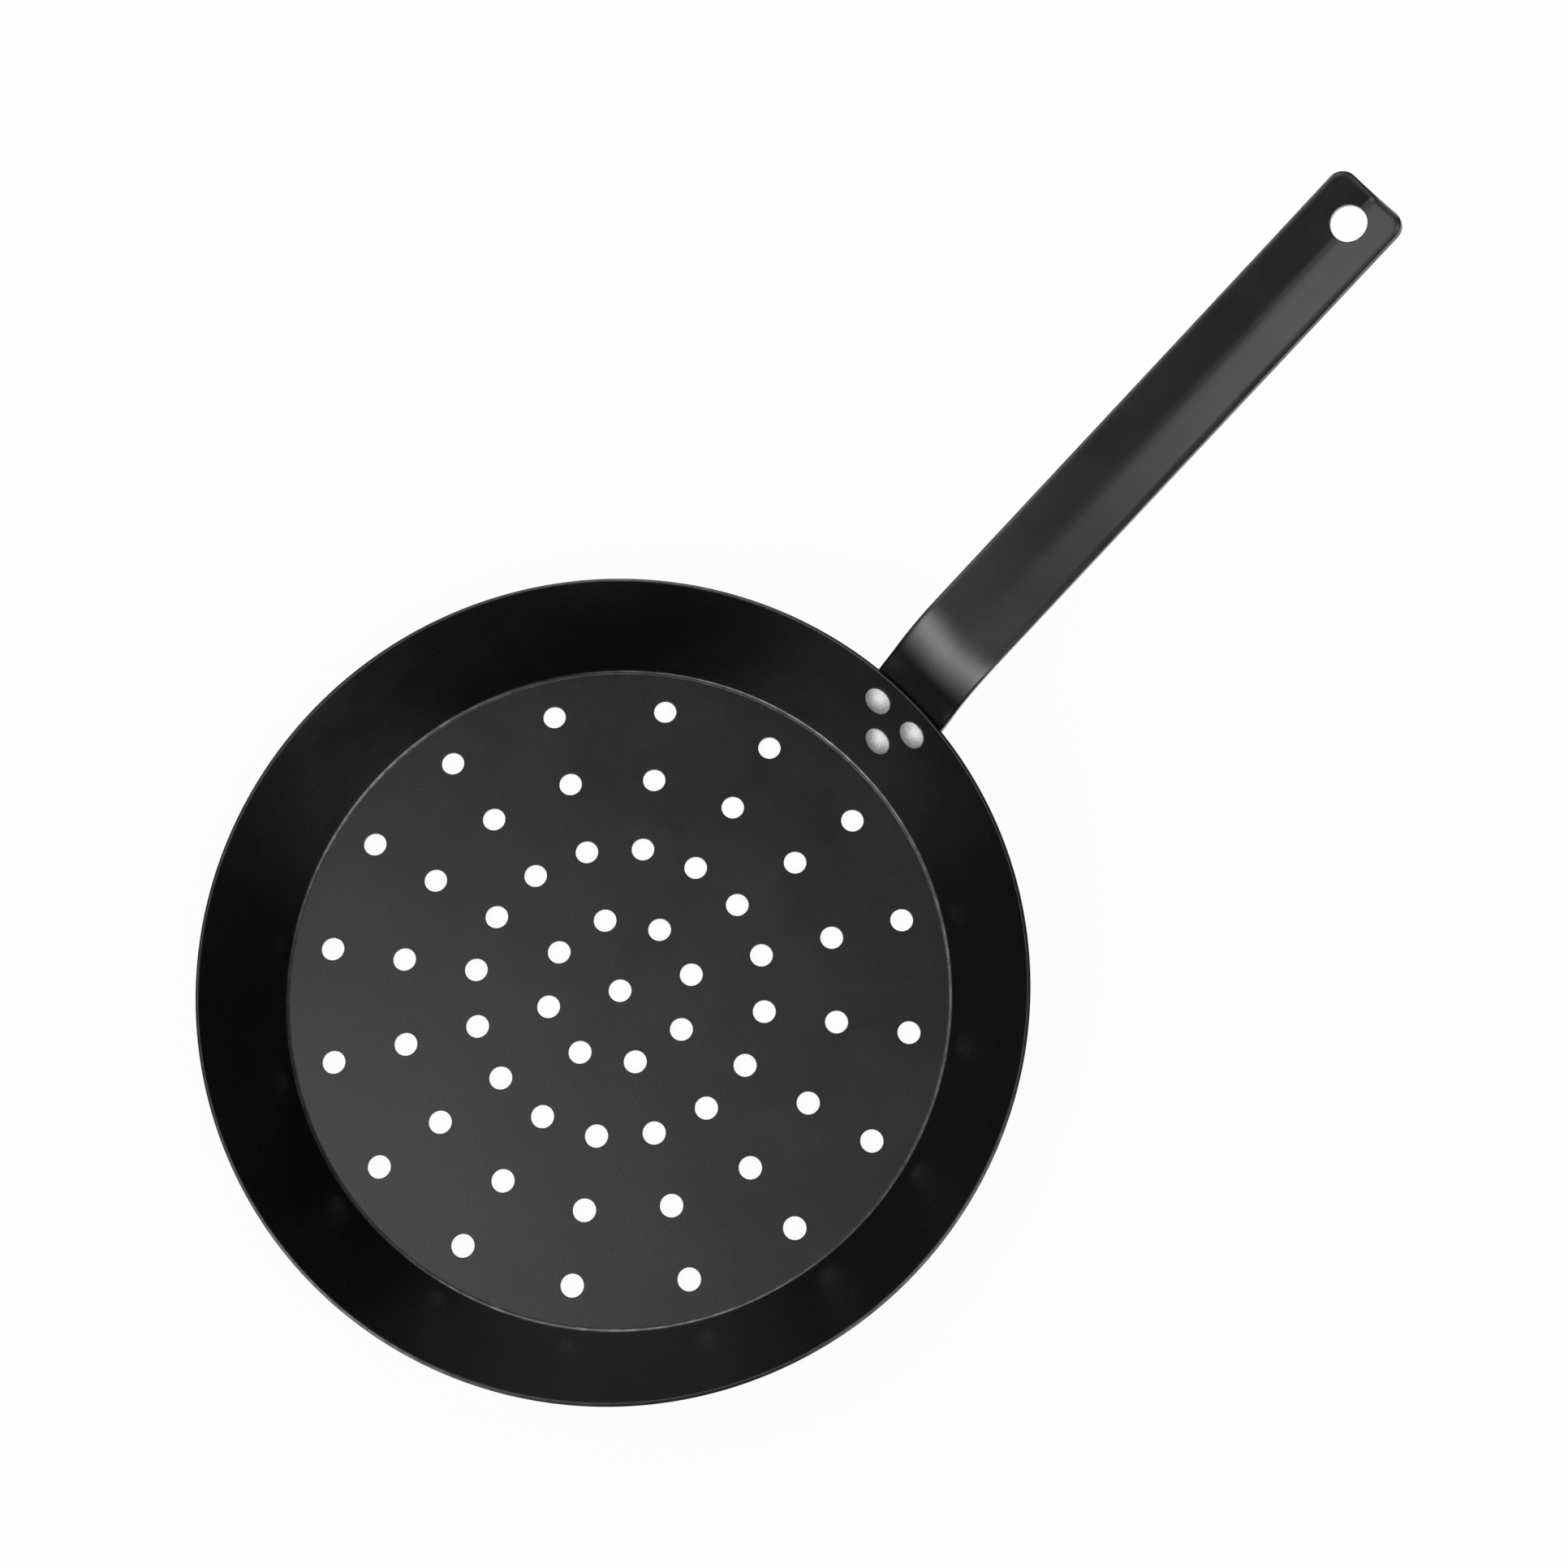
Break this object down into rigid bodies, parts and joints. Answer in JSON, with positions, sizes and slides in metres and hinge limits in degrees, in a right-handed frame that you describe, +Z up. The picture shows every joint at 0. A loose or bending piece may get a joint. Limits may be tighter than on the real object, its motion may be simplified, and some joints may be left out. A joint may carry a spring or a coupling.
{
  "type": "chestnut roaster",
  "caption": "Shallow round steel pan with a perforated floor and flared wall, and a long gutter-shaped strip handle riveted to its outside.",
  "frame": {"origin": "centre of the pan's base, on its underside", "axes": "+Z up out of the pan, +X outwards under the handle"},
  "size_m": [0.4786, 0.28, 0.1409],
  "materials": {
    "pan_steel": "black finish on pressed steel sheet, satin, with a very fine grain",
    "handle_steel": "black finish on formed steel strip, satin",
    "rivet_metal": "plain satin rivet metal"
  },
  "bodies": {
    "root": {"pan_body": "pan_steel", "handle": "handle_steel", "rivet_left": "rivet_metal", "rivet_right": "rivet_metal", "rivet_lower": "rivet_metal"}
  },
  "joints": []
}
